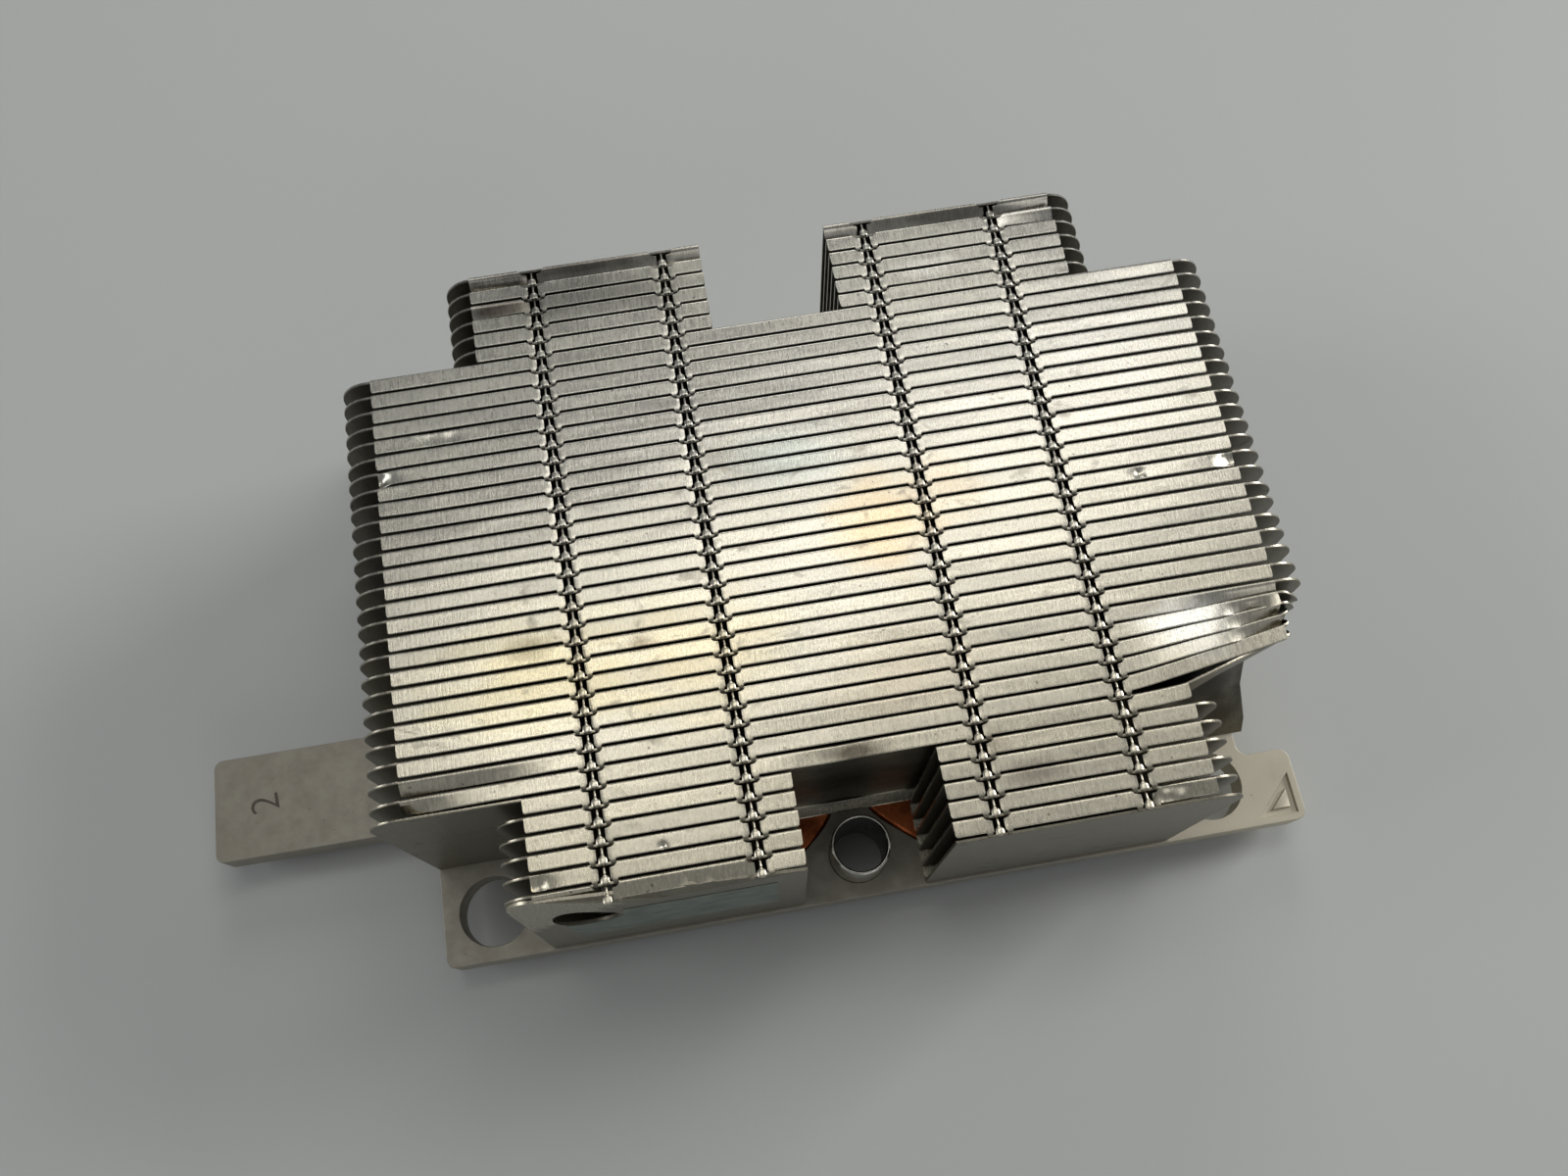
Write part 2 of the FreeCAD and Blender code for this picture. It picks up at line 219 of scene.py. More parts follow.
# lamps: place, height aimed at, size, power in watts, tint, turn in degrees
LAMPS = {
    "overhead": ((0.115, 0.345, 0.95), 0.03, (0.90, 0.16), 1.06, (1.0, 0.99, 0.96), 36),
    "above": ((-0.12, 0.08, 0.95), 0.03, (0.3, 0.3), 0.16, (1.0, 0.98, 0.92), 0),
    "beside": ((0.32, 0.22, 0.95), 0.03, (0.3, 0.2), 0.14, (1.0, 0.99, 0.95), 0),
    "back": ((0.15, 1.25, 0.80), 0.02, (0.5, 0.5), 2.2, (1.0, 0.99, 0.97), 0),
    "right": ((1.35, 0.40, 0.70), 0.02, (0.6, 0.6), 10.0, (1.0, 0.99, 0.97), 0),
    "left": ((-1.35, 0.10, 0.70), 0.02, (0.6, 0.6), 3.5, (0.97, 0.98, 1.0), 0),
    "front": ((0.30, -1.25, 0.75), 0.02, (0.8, 0.6), 1.3, (1.0, 0.99, 0.97), 0),
}
CAMERA_PLACE = (-0.01283, -0.05622, 0.17532)
CAMERA_TURN = (19.894337, 0.255938, -9.769817)      # degrees about x, y and z
LENS = 29.30                    # millimetres, on a sensor this wide
SENSOR = 36.0


def row_y(row):
    """Back face of a row's sheet."""
    return FIRST_Y - (row - 1) * PITCH


def ease(value, start, end):
    """0 before start, 1 past end, smooth in between."""
    t = np.clip((value - start) / (end - start), 0, 1)
    return t * t * (3 - 2 * t)


# ---------------------------------------------------------------- mesh helpers

class Shells:
    """Closed shells gathered into one piece, with a tone for each shell or point."""

    def __init__(self):
        self.points = []
        self.tones = []
        self.faces = []
        self.count = 0

    def add(self, points, faces, tone=0.5):
        points = np.asarray(points, float).reshape(-1, 3)
        self.points.append(points)
        self.tones.append(np.broadcast_to(np.ravel(tone), len(points)))
        self.faces += [[self.count + i for i in face] for face in faces]
        self.count += len(points)

    def tube(self, rings, tone=0.5):
        """A shell through rings of points, capped at both ends."""
        n, m = rings.shape[:2]
        index = np.arange(n * m).reshape(n, m)
        here = index[:-1]
        there = index[1:]
        quads = np.stack([here, np.roll(here, -1, 1), np.roll(there, -1, 1), there], -1)
        faces = quads.reshape(-1, 4).tolist() + [index[0].tolist(), index[-1].tolist()]
        self.add(rings, faces, tone)

    def piece(self, name, material, nodes, slot, sharp=35):
        mesh = bpy.data.meshes.new(name)
        mesh.from_pydata((np.concatenate(self.points) * MM).tolist(), [], self.faces)
        tone = mesh.attributes.new("tone", "FLOAT", "POINT")
        tone.data.foreach_set("value", np.concatenate(self.tones).astype(np.float32))
        finished(mesh, name, material, nodes, sharp)


def finished(mesh, name, material, nodes, sharp):
    """Outward faces, soft shading, material, a parent under the frame's root body, and the CAD
    nodes it stands for hidden.
    """
    work = bmesh.new()
    work.from_mesh(mesh)
    bmesh.ops.recalc_face_normals(work, faces=work.faces)
    work.to_mesh(mesh)
    work.free()
    mesh.shade_smooth()
    mesh.set_sharp_from_angle(angle=math.radians(sharp))
    mesh.materials.append(material)
    piece = bpy.data.objects.new(name, mesh)
    bpy.context.scene.collection.objects.link(piece)
    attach(piece, "root")
    if nodes:
        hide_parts(*nodes)
    return piece


def spaced(length, near, step):
    """Places along a length: close together near both ends, then about a step apart."""
    near = [d for d in near if d < length / 2]
    middle = length - 2 * near[-1]
    inner = np.linspace(near[-1], length - near[-1], max(2, round(middle / step) + 1))
    return np.array(near[:-1] + inner.tolist() + [length - d for d in reversed(near[:-1])])


# ---------------------------------------------------------------- where worn metal has moved

def knocked(row, x, z):
    """How far back and down the right end of a row was knocked, at each point."""
    steps = row - KNOCK_FIRST + 1 if KNOCK_FIRST <= row <= KNOCK_LAST else 0
    start = SHORT_FLANGE if row == KNOCK_LAST else KNOCK_START
    past = x - start
    grown = (past + np.sqrt(past ** 2 + KNOCK_SOFTNESS ** 2)) / 2
    grown = grown * ease(past, *KNOCK_FADE)
    bulge = steps * BULGE_STEP * grown / (LONG_END - start)
    top = steps * TOP_STEP * grown / (LONG_FLANGE - start)
    height = z - PLATE_TOP
    low = ease(height, 0, KNOCK_HEIGHT)
    high = ease(height, KNOCK_HEIGHT, TOP - PLATE_TOP)
    dip = steps * DIP_STEP * grown / (LONG_FLANGE - start) * high
    return bulge * low + (top - bulge) * high, dip


def placed(row, local, bow):
    """Points of a straight fin (x, depth, z) moved to where they are on the worn part."""
    x, depth, z = local[..., 0], local[..., 1], local[..., 2]
    back, down = knocked(row, x, z)
    outward = np.clip((np.abs(x) - BOW_START) / BOW_LENGTH, 0, 1)
    lean = np.where(x < 0, bow[0], bow[1]) * outward ** 2 * ease(z, PLATE_TOP, TOP)
    crush, push = crushed_corner(row, x, z)
    return np.stack([x - push, row_y(row) - depth + back + lean + crush, z - down], -1)


def crushed_corner(row, x, z):
    """Bare right corners of the knocked rows, folded different ways and pushed in."""
    way, push = CRUSHED.get(row, (0, 0))
    share = ease(x, LONG_FLANGE + 0.2, LONG_END)
    low = PUSH_LOW * ease(z, PLATE_TOP, PLATE_TOP + 8)
    high = PUSH_HIGH * ease(z, ROOT - 9, ROOT - 3)
    return way * share * ease(z, ROOT - CRUSHED_TOP, ROOT), push * share * (low + high)


def flange_turn(row, x, wave):
    """How far the flange is turned down about its fold, in radians."""
    turn = wave[0] + wave[1] * np.sin(x * wave[2] + wave[3])
    for first, last, x0, x1, from_angle, to_angle in BENT_FLANGES:
        if first <= row <= last:
            share = np.clip((x - x0) / (x1 - x0), 0, 1)
            inside = (x >= x0 - BEND_MARGIN) & (x <= x1 + BEND_MARGIN)
            turn = turn + np.where(inside, from_angle + (to_angle - from_angle) * share, 0)
    return np.radians(turn)


def turned(row, local, wave):
    """Flange points turned down about the fold, and dented."""
    x, depth, z = local[..., 0], local[..., 1], local[..., 2]
    turn = flange_turn(row, x, wave) * ease(depth, *FOLD_SPAN)
    out = depth - FOLD_PIVOT
    up = z - (TOP - FOLD_PIVOT)
    new_depth = FOLD_PIVOT + out * np.cos(turn) + up * np.sin(turn)
    new_z = TOP - FOLD_PIVOT + up * np.cos(turn) - out * np.sin(turn)
    for dent_row, dent_x, dent_depth, radius, deep in DENTS:
        if dent_row == row:
            away = ((x - dent_x) ** 2 + (depth - dent_depth) ** 2) / radius ** 2
            new_z = new_z - deep * np.exp(-away)
    return np.stack([x, new_depth, new_z], -1)


# ---------------------------------------------------------------- fins

def flange_profile():
    """Closed cross-section of a flange with its fold: (depth, height from the top)."""
    turns = np.radians(np.arange(0, 91, 15))
    outer = [(FOLD_RADIUS * (1 - math.cos(a)), FOLD_RADIUS * (math.sin(a) - 1)) for a in turns]
    top = [(s, 0) for s in (0.36, 0.46, 0.58, 0.66, 0.85, 1.1, 1.4, 1.6, 1.7, 1.76)]
    free = [(FLANGE_DEPTH - inset, height) for inset, height in
            ((0.05, -0.015), (0.015, -0.05), (0, -0.1), (0, -0.2), (0.04, -SHEET))]
    under = [(s, -SHEET) for s in (1.7, 1.4, 1.1, 0.85, 0.66, 0.58, 0.5)]
    inner = [(0.42, -0.36), (0.37, -0.39), (SHEET, -0.45), (SHEET, -FOLD_FOOT)]
    return np.array([(0, -FOLD_FOOT)] + outer + top + free + under + inner)


PROFILE = flange_profile()


def profile_tone(tone):
    """Tone round the cross-section: painted shade on the fold and everything under the top, which
    are also duller.
    """
    depth, height = PROFILE[:, 0], PROFILE[:, 1]
    on_top = height > -0.06
    seen = on_top & (depth > FOLD_RADIUS / 2)
    # painted highlight: a tone shift along the free edge
    lip = on_top & (depth > FLANGE_DEPTH - 0.07)
    # the fold and the underside get painted shade
    return np.where(seen, np.where(lip, tone + LIP_TONE, tone), DULL_AND_SHADED)


def window_reach(depth):
    """How much further from the column's centre a strip's end lies than its ear's tip."""
    return np.interp(depth, *zip(*WINDOW_SHAPE)) - WINDOW_FRONT


def corner_reach(depth, radius):
    """Rounded front corner at a strip's free end."""
    into = np.clip(depth - (FLANGE_DEPTH - radius), 0, radius)
    return radius - np.sqrt(radius ** 2 - into ** 2)


def strip_stations(x0, length, row):
    """Places of the rings along a strip: closer near its ends and round its dents."""
    along = spaced(length, END_STATIONS, STATION_STEP)
    for dent_row, dent_x, _, radius, _ in DENTS:
        if dent_row == row and x0 < dent_x < x0 + length:
            extra = dent_x - x0 + radius * np.array([-1.5, -1, -0.6, -0.3, 0, 0.3, 0.6, 1, 1.5])
            along = np.union1d(along, extra[(extra > 0.1) & (extra < length - 0.1)])
    return along


def hooked(away):
    """1 where an ear carries its hook, at each distance from the strip's end."""
    inward = away + WINDOW_FRONT
    rise = ease(inward, HOOK[0] - HOOK_EDGE, HOOK[0])
    return (rise * ease(inward, HOOK[1] + HOOK_EDGE, HOOK[1]))[:, None]


def strip(x0, x1, window_left, window_right, row):
    """Rings of one flange strip between two windows or ends, and the tone of their points."""
    length = x1 - x0
    along = strip_stations(x0, length, row)
    depth, height = PROFILE[:, 0], PROFILE[:, 1]
    x = x0 + along[:, None] + 0 * depth
    z = TOP + height + 0 * along[:, None]
    tone = profile_tone(chance.random()) + 0 * z
    y = depth + 0 * z
    for window, sign, away in ((window_left, 1, along), (window_right, -1, length - along)):
        reach = window_reach(depth) if window else corner_reach(depth, FLANGE_CORNER)
        fade = np.clip(1 - away / LOCAL_REACH, 0, 1)[:, None] ** 2
        x = x + sign * reach * fade
        if window:
            curl = np.clip(1 - away / EAR_LENGTH, 0, 1)[:, None] ** 2
            hook = hooked(away)
            y = y + HOOK_REACH * hook * ease(depth, *HOOK_SPAN)
            z = z - EAR_DROP * curl * ease(depth, *EAR_SPAN)
            z = z - HOOK_DROP * hook * ease(depth, *HOOK_FALL)
            # painted shade on the hooks' front ends
            tone = np.where((hook > 0.3) & (depth > FLANGE_DEPTH - 0.17), HOOK_TONE, tone)
    return np.stack([x, y, z], -1), tone


def sheet_stations(x0, x1, rounded, strips):
    """Stations (x, height of the top edge) along a sheet: rounded corners, and lower wherever
    a flange strip's fold stands on it."""
    under = TOP - FOLD_FOOT
    step = 0.004                # between a fold's end and the bare edge beside it
    marks = []
    for start, end in strips:
        inner = np.linspace(start + step, end - step, max(3, round((end - start) / 3)))
        marks += [(start - step, ROOT)] + [(x, under) for x in inner] + [(end + step, ROOT)]
    arc = np.radians(np.arange(0, 91, 11.25))
    for end, side, is_round in ((x0, -1, rounded[0]), (x1, 1, rounded[1])):
        if is_round:
            centre = end - side * CORNER
            marks += [(centre + side * CORNER * math.sin(a), ROOT - CORNER * (1 - math.cos(a)))
                      for a in arc]
        elif not strips:
            marks.append((end, ROOT))
    if not strips:
        marks += [(x, ROOT) for x in np.arange(x0 + 6, x1 - 5, 4)]
    marks = [(min(max(x, x0), x1), top) for x, top in marks]
    if not rounded[0] and strips:
        marks = [mark for mark in marks if mark[0] > x0] + [(x0, under)]
    if not rounded[1] and strips:
        marks = [mark for mark in marks if mark[0] < x1] + [(x1, under)]
    return sorted(set(marks))


def sheet_rings(stations):
    """Closed rings of an upright sheet, with softened top edges."""
    levels = np.array([PLATE_TOP, *SHEET_LEVELS])
    rings = []
    for x, top in stations:
        low = np.minimum(levels, top - 1)
        back = [(x, 0, z) for z in low] + [(x, 0, top - EDGE), (x, EDGE, top)]
        front = [(x, SHEET - EDGE, top), (x, SHEET, top - EDGE)]
        front += [(x, SHEET, z) for z in low[::-1]]
        rings.append(back + front)
    return np.array(rings)


def sheet_tone(rings):
    """Tone of a sheet's points: painted shade on both faces, darker on the front one."""
    return np.where(rings[..., 1] < SHEET / 2, BACK_TONE, SHEET_TONE)


def tongue(centre):
    """Rings of one bottle-shaped tongue whose tip hooks over the next fin's sheet: the depth,
    half width and drop of each ring, and the places and fall across it."""
    depths = np.array([0.28, 0.42, 0.6, 1.0, 1.3, 1.42, 1.55, 1.7, 2.1, 2.22, 2.3, 2.34])
    halves = np.array([0.13, 0.13, 0.13, 0.14, 0.17, 0.26, 0.4, 0.45, 0.46, 0.43, 0.36, 0.2])
    under_top = np.array([0.7, 0.4, 0.22, 0.2, 0.18, 0.12, 0.07, 0.05, 0.03, 0.03, 0.06, 0.12])
    across = np.array([-1, -0.8, -0.4, 0, 0.4, 0.8, 1, 0.9, 0, -0.9])
    fall = np.array([0.12, 0.06, 0.01, 0, 0.01, 0.06, 0.12, 0.22, 0.22, 0.22])
    thinned_tip = np.where(depths < 2.25, 1.0, 0.7)
    x = centre + halves[:, None] * across
    z = TOP - under_top[:, None] - fall * thinned_tip[:, None]
    return np.stack([x, depths[:, None] + 0 * x, z], -1)


def foot(x0, x1):
    """Rings of the foot flange that stands on the plate."""
    loop = np.array([(SHEET, 0), (SHEET, 0.5), (0.45, 0.38), (0.6, SHEET), (1.75, SHEET),
                     (FLANGE_DEPTH, 0.25), (FLANGE_DEPTH, 0)])
    along = np.linspace(x0, x1, max(2, round((x1 - x0) / 4)))
    x = along[:, None] + 0 * loop[:, 0]
    return np.stack([x, loop[:, 0] + 0 * x, PLATE_TOP + loop[:, 1] + 0 * x], -1)


def wave_of_strip():
    """Small seeded unevenness of a flange strip: its turn and the swing of that in degrees, and
    the swing's pace and place along x."""
    return (0.2 + 0.9 * chance.random(), 0.1 + 0.4 * chance.random(),
            0.12 + 0.35 * chance.random(), 6.3 * chance.random())


def fin(name, row, sheet_x, flange_x, rounded, material):
    """One fin: sheet, flange strips between its windows, tongues and foot."""
    shells = Shells()
    locks = [c for c in COLUMNS if flange_x[0] < c < flange_x[1]]
    starts = [flange_x[0]] + [c + WINDOW_BACK for c in locks]
    ends = [c - WINDOW_BACK for c in locks] + [flange_x[1]]
    bow = chance.normal(0, BOW_SPREAD, 2)
    stations = sheet_stations(*sheet_x, rounded, list(zip(starts, ends)))
    sheet = sheet_rings(stations)
    shells.tube(placed(row, sheet, bow), sheet_tone(sheet))
    ear = WINDOW_BACK - WINDOW_FRONT        # the strips reach this far into the windows
    for i, (start, end) in enumerate(zip(starts, ends)):
        left, right = i > 0, i < len(locks)
        rings, tone = strip(start - ear * left, end + ear * right, left, right, row)
        shells.tube(placed(row, turned(row, rings, wave_of_strip()), bow), tone)
    for c in locks:
        shells.tube(placed(row, tongue(c), bow), TONGUE_TONE)
    shells.tube(placed(row, foot(*flange_x), bow), FOOT_TONE)
    shells.piece("look_" + name, material, [name], "fin_metal")


def all_fins(material):
    """Every row but the last, which is the two end sheets."""
    for row in range(1, ROWS):
        name = "fin_%02d" % row
        if BACK_ROWS < row <= TRANSITION:
            end = SHORT_FLANGE if row == TRANSITION else LONG_FLANGE
            fin(name, row, (-LONG_END, LONG_END), (-end, end), (True, True), material)
        else:
            fin(name + "_left", row, (-SHORT_END, -NOTCH), (-SHORT_FLANGE, -NOTCH),
                (True, False), material)
            fin(name + "_right", row, (NOTCH, SHORT_END), (NOTCH, SHORT_FLANGE),
                (False, True), material)


# ---------------------------------------------------------------- end sheets

def end_sheet_right(material):
    """The plain end sheet, upright."""
    shells = Shells()
    stations = sheet_stations(NOTCH, SHORT_END, (False, True), [])
    # painted shade over the whole sheet
    shells.tube(placed(ROWS, sheet_rings(stations), (0, 0)), SHEET_TONE)
    shells.piece("look_end_sheet_right", material, ["end_sheet_right"], "fin_metal")


def past_crease(x, z):
    """How far a point of the left end sheet lies past its crease, and the crease's normal."""
    along = np.array([CREASE_LENGTH, ROOT - PLATE_TOP - CREASE_HEIGHT])
    normal = np.array([-along[1], along[0]]) / np.hypot(*along)
    away = (x + SHORT_END) * normal[0] + (z - PLATE_TOP - CREASE_HEIGHT) * normal[1]
    return (away + np.sqrt(away ** 2 + CREASE_ROUNDING ** 2)) / 2, normal


def left_end(x, z, out):
    """A point of the left end sheet, out in front of its back face, on the creased sheet."""
    past, normal = past_crease(x, z)
    angle = math.radians(CREASE_ANGLE)
    inward = past * (1 - math.cos(angle))
    y = row_y(ROWS) + past * math.sin(angle) - out
    return np.stack([x - inward * normal[0], y, z - inward * normal[1]], -1)


def end_sheet_outline():
    """The left end sheet's outline in x and z, with its rounded outer corner."""
    arc = np.radians(np.arange(0, 91, 7.5))
    corner = [(-SHORT_END + CORNER * (1 - math.sin(a)), ROOT - CORNER * (1 - math.cos(a)))
              for a in arc]
    return [(-NOTCH, PLATE_TOP), (-NOTCH, ROOT)] + corner + [(-SHORT_END, PLATE_TOP)]


def hole_outline():
    """Points round the left end sheet's hole."""
    return [(END_HOLE[0] + END_HOLE_RADIUS * math.cos(a),
             END_HOLE[1] + END_HOLE_RADIUS * math.sin(a))
            for a in np.radians(np.arange(0, 360, 7.5))]


def from_hole(x, z):
    return math.hypot(x - END_HOLE[0], z - END_HOLE[1])


def inside_corner(x, z):
    """Whether a point lies well inside the rounded outer corner."""
    from_centre = math.hypot(x + SHORT_END - CORNER, z - ROOT + CORNER)
    return x > -SHORT_END + CORNER or z < ROOT - CORNER or from_centre < CORNER - 0.4


def fill_points():
    """Mesh points inside the left end sheet, clear of its hole and its rounded corner."""
    return [(x, z) for x in np.arange(-SHORT_END + 1, -NOTCH, FILL_STEP)
            for z in np.arange(PLATE_TOP + 1, ROOT - 0.5, FILL_STEP)
            if from_hole(x, z) > END_HOLE_RADIUS + 0.5 and inside_corner(x, z)]


def in_hole(point):
    return from_hole(point.x, point.y) < END_HOLE_RADIUS - 0.02


def end_sheet_left(material):
    """A plate with a round hole, triangulated in its own plane and then leaned."""
    outline = end_sheet_outline()
    hole = hole_outline()
    loops = [list(range(len(outline))),
             list(range(len(outline), len(outline) + len(hole)))]
    edges = [(loop[i], loop[(i + 1) % len(loop)]) for loop in loops for i in range(len(loop))]
    flat = [Vector(p) for p in outline + hole + fill_points()]
    found, _, triangles, _, _, _ = delaunay_2d_cdt(flat, edges, [], 0, 1e-5)
    kept = [t for t in triangles if not in_hole(sum((found[i] for i in t), Vector((0, 0))) / 3)]
    plan = np.array([tuple(p) for p in found])
    shells = Shells()
    thick_plate(shells, plan, kept)
    shells.piece("look_end_sheet_left", material, ["end_sheet_left"], "fin_metal")


def thick_plate(shells, plan, triangles):
    """Both faces of the creased plate and the walls round its edges."""
    back = left_end(plan[:, 0], plan[:, 1], 0)
    front = left_end(plan[:, 0], plan[:, 1], SHEET)
    n = len(plan)
    used = {}
    for t in triangles:
        for a, b in ((t[0], t[1]), (t[1], t[2]), (t[2], t[0])):
            used.setdefault(frozenset((a, b)), []).append((a, b))
    walls = [[a, b, b + n, a + n] for edge in used.values() if len(edge) == 1 for a, b in edge]
    faces = [list(t) for t in triangles] + [[i + n for i in reversed(t)] for t in triangles]
    past, _ = past_crease(plan[:, 0], plan[:, 1])
    # painted shade over the sheet, lighter past the crease
    tone = np.where(past > FLAP_START, FLAP_TONE, SHEET_TONE)
    shells.add(np.concatenate([back, front]), faces + walls, np.concatenate([tone, tone]))


def label_top(x):
    """The label's upper edge: round the underside of the hole, and straight elsewhere."""
    away = np.abs(x - END_HOLE[0])
    clear = END_HOLE_RADIUS + LABEL_CLEARANCE
    below_hole = END_HOLE[1] - np.sqrt(np.clip(clear ** 2 - away ** 2, 0, None))
    return np.where(away < END_HOLE_RADIUS + LABEL_DIP_MARGIN, below_hole, LABEL[3])


def label(material):
    """Blank label on the left end sheet."""
    x, share = np.meshgrid(np.linspace(*LABEL[:2], 48), np.linspace(0, 1, 8), indexing="ij")
    z = LABEL[2] + share * (label_top(x) - LABEL[2])
    near = left_end(x, z, SHEET + LABEL_FRONT)
    far = left_end(x, z, SHEET + LABEL_BACK)
    shells = Shells()
    shells.tube(np.concatenate([near, far[:, ::-1]], 1))
    shells.piece("look_label", material, [], "fin_metal")


# ---------------------------------------------------------------- base, pipes and sleeves

def softened_copy(node, material, width, segments=2):
    """A copy of a CAD node's mesh with its edges rounded."""
    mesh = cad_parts[node].data.copy()
    mesh.name = "look_" + node
    mesh.materials.clear()
    work = bmesh.new()
    work.from_mesh(mesh)
    bmesh.ops.remove_doubles(work, verts=work.verts, dist=1e-6)
    bmesh.ops.dissolve_limit(work, angle_limit=math.radians(1), verts=work.verts, edges=work.edges)
    work.to_mesh(mesh)
    work.free()
    piece = finished(mesh, "look_" + node, material, [node], SHARP_ANGLE)
    bevel = piece.modifiers.new("edges", "BEVEL")
    bevel.width = width * MM
    bevel.segments = segments
    bevel.limit_method = "ANGLE"
    bevel.angle_limit = math.radians(SHARP_ANGLE)
    bevel.harden_normals = True


def sleeve(node, material):
    """Thin sleeve turned from a profile, with a rounded rim and painted shade in its bore."""
    low, high = span(node)
    centre_x, centre_y = (low.x + high.x) / 2, (low.y + high.y) / 2
    outer = (high.x - low.x) / 2
    inner = outer - SLEEVE_WALL
    half = (outer - inner) / 2
    rim = [(inner + half - half * math.cos(a), high.z - half + half * math.sin(a))
           for a in np.radians(np.arange(0, 181, 22.5))]
    profile = np.array([(inner, low.z)] + rim + [(outer, low.z)])
    turns = np.radians(np.arange(0, 360, 5))
    x = centre_x + profile[None, :, 0] * np.cos(turns)[:, None]
    y = centre_y + profile[None, :, 0] * np.sin(turns)[:, None]
    z = profile[None, :, 1] + 0 * x
    n, m = x.shape
    index = np.arange(n * m).reshape(n, m)
    there = np.roll(index, -1, 0)
    quads = np.stack([index, np.roll(index, -1, 1), np.roll(there, -1, 1), there], -1)
    shells = Shells()
    # painted shade on the bore
    tone = np.where(profile[:, 0] < inner + half / 2, DULL_AND_SHADED, 0.5) + 0 * x
    shells.add(np.stack([x, y, z], -1), quads.reshape(-1, 4).tolist(), tone)
    shells.piece("look_" + node, material, [node], "plated_sleeve", 50)


def arm_number(material):
    """The plain number on the arm, its top towards the arm's tip."""
    text = bpy.data.curves.new("number", "FONT")
    text.body = NUMBER
    text.size = NUMBER_SIZE
    text.extrude = NUMBER_RISE
    text.offset = NUMBER_OFFSET
    text.resolution_u = 6
    text.align_x = "CENTER"
    text.align_y = "CENTER"
    maker = bpy.data.objects.new("number", text)
    bpy.context.scene.collection.objects.link(maker)
    bpy.context.view_layer.update()
    graph = bpy.context.evaluated_depsgraph_get()
    mesh = bpy.data.meshes.new_from_object(maker.evaluated_get(graph))
    bpy.data.objects.remove(maker)
    place = Matrix.Translation([v * MM for v in (*NUMBER_PLACE, PLATE_TOP)])
    turn = Matrix.Rotation(math.radians(NUMBER_ANGLE), 4, "Z")
    mesh.transform(place @ turn @ Matrix.Scale(MM, 4))
    finished(mesh, "look_arm_number", material, [], 30)


# ---------------------------------------------------------------- materials

def colour(red, green, blue):
    """A colour given as it is seen on screen, 0 to 255."""
    def linear(value):
        value = value / 255
        return value / 12.92 if value <= 0.04045 else ((value + 0.055) / 1.055) ** 2.4
    return (linear(red), linear(green), linear(blue), 1)


class Look:
    """A material whose nodes are added one at a time."""

    def __init__(self, name):
        self.material = bpy.data.materials.new(name)
        self.material.use_nodes = True
        self.tree = self.material.node_tree
        self.surface = self.tree.nodes["Principled BSDF"]
        self.place = self.add("ShaderNodeTexCoord").outputs["Object"]

    def along(self, axis):
        """The place along one axis, in metres."""
        return self.add("ShaderNodeSeparateXYZ", {0: self.place}).outputs[axis]

    def tone(self):
        """The tone kept with each point of the mesh."""
        return self.add("ShaderNodeAttribute", attribute_name="tone").outputs["Fac"]

    def add(self, kind, inputs=(), **settings):
        """A node of a kind, with values or links for its inputs."""
        node = self.tree.nodes.new(kind)
        for key, value in settings.items():
            setattr(node, key, value)
        for key, value in dict(inputs).items():
            self.feed(node.inputs[key], value)
        return node

    def feed(self, socket, value):
        if isinstance(value, bpy.types.NodeSocket):
            self.tree.links.new(value, socket)
        else:
            socket.default_value = value

    def noise(self, per_mm, detail=3, roughness=0.55, distortion=0.0):
        """Noise with the given number of features a millimetre along each axis."""
        scale = [f / MM for f in per_mm]
        mapped = self.add("ShaderNodeMapping", {"Vector": self.place, "Scale": scale})
        made = self.add("ShaderNodeTexNoise", {
            "Vector": mapped.outputs[0], "Scale": 1.0, "Detail": detail,
            "Roughness": roughness, "Distortion": distortion})
        return made.outputs["Fac"]

    def ramp(self, value, low, high, out_low=0.0, out_high=1.0):
        """A value stretched from one range to another, and kept inside it."""
        made = self.add("ShaderNodeMapRange", {
            "Value": value, "From Min": low, "From Max": high,
            "To Min": out_low, "To Max": out_high})
        return made.outputs["Result"]

    def maths(self, operation, a, b):
        return self.add("ShaderNodeMath", {0: a, 1: b}, operation=operation).outputs[0]

    def times(self, a, b):
        return self.maths("MULTIPLY", a, b)

    def vector(self, operation, a, b=None):
        """Outputs of a step with vectors; b is left out where the step takes one."""
        inputs = {0: a} if b is None else {0: a, 1: b}
        return self.add("ShaderNodeVectorMath", inputs, operation=operation).outputs

    def mix(self, share, a, b):
        """Colour a where the share is 0, and b where it is 1."""
        made = self.add("ShaderNodeMix", data_type="RGBA")
        self.feed(made.inputs[0], share)
        self.feed(made.inputs[6], a)
        self.feed(made.inputs[7], b)
        return made.outputs[2]

    def blob(self, centre, radius):
        """1 near a place, fading to 0 at the radius with a ragged edge."""
        moved = self.vector("SUBTRACT", self.place, [c * MM for c in centre])[0]
        scaled = self.vector("MULTIPLY", moved, [1 / (r * MM) for r in radius])[0]
        length = self.vector("LENGTH", scaled)["Value"]
        uneven = self.maths("SUBTRACT", self.noise((0.12, 0.2, 0.2)), 0.5)
        return self.ramp(self.maths("ADD", length, self.times(uneven, RAGGEDNESS)), 1.0, 0.25)

    def tinted(self, base, share, strength, tint):
        """The base with a colour laid over it by share times strength."""
        return self.mix(self.times(share, strength), base, colour(*tint))

    def bump(self, height, distance, normal=None):
        """Relief of this many millimetres, laid over another one's normal."""
        inputs = {"Height": height, "Distance": distance * MM, "Strength": 1.0}
        if normal is not None:
            inputs["Normal"] = normal
        return self.add("ShaderNodeBump", inputs).outputs[0]

    def finish(self, base, roughness, metallic=1.0, normal=None):
        self.feed(self.surface.inputs["Base Color"], base)
        self.feed(self.surface.inputs["Roughness"], roughness)
        self.feed(self.surface.inputs["Metallic"], metallic)
        if normal is not None:
            self.feed(self.surface.inputs["Normal"], normal)
        return self.material
